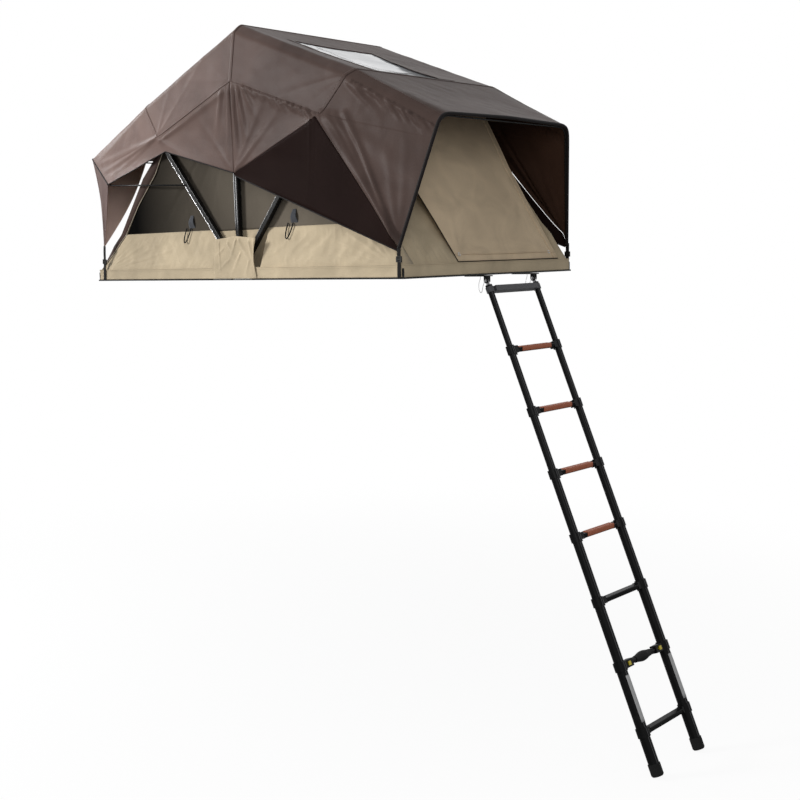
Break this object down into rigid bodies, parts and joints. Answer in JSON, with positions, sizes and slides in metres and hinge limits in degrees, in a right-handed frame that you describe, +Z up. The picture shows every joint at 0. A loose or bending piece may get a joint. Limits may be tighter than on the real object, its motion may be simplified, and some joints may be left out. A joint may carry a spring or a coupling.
{
  "type": "roof top tent",
  "caption": "Fold-out soft-shell roof top tent with hinged base, folding bows, flysheet with end awnings, skylight, mesh windows and a telescopic ladder.",
  "frame": {"origin": "centre of the four roof-rack bolt holes, on the underside of the mounting rails", "axes": "+X towards the entrance and the ladder, +Y to the left of someone looking out of the entrance, +Z up"},
  "size_m": [3.471, 1.2596, 3.3798],
  "materials": {
    "rail_aluminium": "mill",
    "base_panel": "painted skins over a light core",
    "frame_black": "black powder coat",
    "hinge_steel": "zinc plated",
    "mattress_cover": "woven cover",
    "tent_canvas": "coated canvas",
    "window_mesh": "fine mesh",
    "fly_cloth": "coated cloth",
    "skylight_film": "clear film",
    "awning_rod": "black",
    "webbing": "woven",
    "buckle_plastic": "moulded",
    "bracket_metal": "black powder coat",
    "lanyard_wire": "wire rope",
    "bow_black": "black powder coat",
    "ladder_black": "black anodised",
    "link_metal": "satin",
    "step_plastic": "moulded",
    "tread_red": "ribbed",
    "latch_plastic": "moulded",
    "release_yellow": "moulded",
    "grip_rubber": "moulded",
    "foot_rubber": "moulded"
  },
  "bodies": {
    "rear_base": {"mounting_rails": "rail_aluminium", "rear_board": "base_panel", "rear_edge_frame": "frame_black", "rear_hinge_plates": "hinge_steel", "rear_mattress": "mattress_cover", "rear_skirt": "tent_canvas", "rear_tent_walls": "tent_canvas", "rear_window_mesh": "window_mesh", "rear_fly": "fly_cloth", "rear_corner_flaps": "fly_cloth", "rear_awning_rods": "awning_rod", "rear_anchor_straps": "webbing", "rear_buckles": "buckle_plastic", "fold_bolts": "hinge_steel", "hinge_cover_patches": "tent_canvas"},
    "front_base": {"front_board": "base_panel", "front_edge_frame": "frame_black", "front_hinge_plates": "hinge_steel", "front_mattress": "mattress_cover", "front_skirt": "tent_canvas", "front_tent_walls": "tent_canvas", "front_window_mesh": "window_mesh", "front_fly": "fly_cloth", "skylight_window": "skylight_film", "front_awning_hoop": "awning_rod", "front_anchor_straps": "webbing", "front_buckles": "buckle_plastic", "door_flap": "tent_canvas", "front_bow_bolts": "hinge_steel", "ladder_brackets": "bracket_metal", "bracket_pins": "hinge_steel", "pin_lanyards": "lanyard_wire"},
    "rear_bow": {"rear_bow_legs": "bow_black", "rear_bow_arch": "bow_black"},
    "middle_bow": {"middle_bow_legs": "bow_black", "middle_bow_arch": "bow_black"},
    "front_bow": {"front_bow_legs": "bow_black", "front_bow_arch": "bow_black"},
    "ladder_top": {"link_arms": "link_metal", "top_step": "step_plastic", "ladder_section_1": "ladder_black"},
    "ladder_2": {"ladder_section_2": "ladder_black", "rung_tread_1": "tread_red"},
    "ladder_3": {"ladder_section_3": "ladder_black", "rung_tread_2": "tread_red"},
    "ladder_4": {"ladder_section_4": "ladder_black", "rung_tread_3": "tread_red"},
    "ladder_5": {"ladder_section_5": "ladder_black", "rung_tread_4": "tread_red"},
    "ladder_6": {"ladder_section_6": "ladder_black"},
    "ladder_7": {"ladder_section_7": "ladder_black", "carry_grip": "grip_rubber", "ladder_feet": "foot_rubber"},
    "latch_1": {"latch_buttons_1": "latch_plastic"},
    "latch_2": {"latch_buttons_2": "latch_plastic"},
    "latch_3": {"latch_buttons_3": "latch_plastic"},
    "latch_4": {"latch_buttons_4": "latch_plastic"},
    "latch_5": {"latch_buttons_5": "latch_plastic"},
    "release_tab_left": {"release_left": "release_yellow"},
    "release_tab_right": {"release_right": "release_yellow"}
  },
  "joints": [
    {"name": "base_fold", "type": "hinge", "parent": "rear_base", "child": "front_base", "pos_m": [0.575, 0, 0.173], "axis": [0, -1, 0], "range_deg": [0, 180], "deforming": ["rear_tent_walls", "rear_window_mesh", "rear_fly", "rear_corner_flaps", "rear_awning_rods", "hinge_cover_patches", "front_tent_walls", "front_window_mesh", "front_fly", "skylight_window", "front_awning_hoop", "door_flap"]},
    {"name": "rear_bow_tilt", "type": "hinge", "parent": "rear_base", "child": "rear_bow", "pos_m": [0.497, 0, 0.133], "axis": [0, -1, 0], "range_deg": [0, 49]},
    {"name": "middle_bow_tilt", "type": "hinge", "parent": "rear_base", "child": "middle_bow", "pos_m": [0.575, 0, 0.173], "axis": [0, -1, 0], "range_deg": [0, 90]},
    {"name": "front_bow_tilt", "type": "hinge", "parent": "front_base", "child": "front_bow", "pos_m": [0.653, 0, 0.133], "axis": [0, 1, 0], "range_deg": [0, 49]},
    {"name": "ladder_swing", "type": "hinge", "parent": "front_base", "child": "ladder_top", "pos_m": [1.767, 0.072, -0.016], "axis": [0, -1, 0], "range_deg": [0, 60]},
    {"name": "section_2_slide", "type": "slide", "parent": "ladder_top", "child": "ladder_2", "axis": [-0.3867, 0, 0.9222], "range_m": [0, 0.235]},
    {"name": "section_3_slide", "type": "slide", "parent": "ladder_2", "child": "ladder_3", "axis": [-0.3867, 0, 0.9222], "range_m": [0, 0.235]},
    {"name": "section_4_slide", "type": "slide", "parent": "ladder_3", "child": "ladder_4", "axis": [-0.3867, 0, 0.9222], "range_m": [0, 0.235]},
    {"name": "section_5_slide", "type": "slide", "parent": "ladder_4", "child": "ladder_5", "axis": [-0.3867, 0, 0.9222], "range_m": [0, 0.235]},
    {"name": "section_6_slide", "type": "slide", "parent": "ladder_5", "child": "ladder_6", "axis": [-0.3867, 0, 0.9222], "range_m": [0, 0.235]},
    {"name": "section_7_slide", "type": "slide", "parent": "ladder_6", "child": "ladder_7", "axis": [-0.3867, 0, 0.9222], "range_m": [0, 0.235]},
    {"name": "latch_1_push", "type": "slide", "parent": "ladder_2", "child": "latch_1", "axis": [-0.3867, 0, 0.9222], "range_m": [0, 0.005], "stiffness_N_per_m": 400},
    {"name": "latch_2_push", "type": "slide", "parent": "ladder_3", "child": "latch_2", "axis": [-0.3867, 0, 0.9222], "range_m": [0, 0.005], "stiffness_N_per_m": 400},
    {"name": "latch_3_push", "type": "slide", "parent": "ladder_4", "child": "latch_3", "axis": [-0.3867, 0, 0.9222], "range_m": [0, 0.005], "stiffness_N_per_m": 400},
    {"name": "latch_4_push", "type": "slide", "parent": "ladder_5", "child": "latch_4", "axis": [-0.3867, 0, 0.9222], "range_m": [0, 0.005], "stiffness_N_per_m": 400},
    {"name": "latch_5_push", "type": "slide", "parent": "ladder_6", "child": "latch_5", "axis": [-0.3867, 0, 0.9222], "range_m": [0, 0.005], "stiffness_N_per_m": 400},
    {"name": "release_left_slide", "type": "slide", "parent": "ladder_7", "child": "release_tab_left", "axis": [0, 1, 0], "range_m": [0, 0.01], "stiffness_N_per_m": 300},
    {"name": "release_right_slide", "type": "slide", "parent": "ladder_7", "child": "release_tab_right", "axis": [0, -1, 0], "range_m": [0, 0.01], "stiffness_N_per_m": 300}
  ],
  "couplings": [
    {"joint": "rear_bow_tilt", "follows": "base_fold", "ratio": 0.27222},
    {"joint": "middle_bow_tilt", "follows": "base_fold", "ratio": 0.5},
    {"joint": "front_bow_tilt", "follows": "base_fold", "ratio": 0.27222}
  ]
}
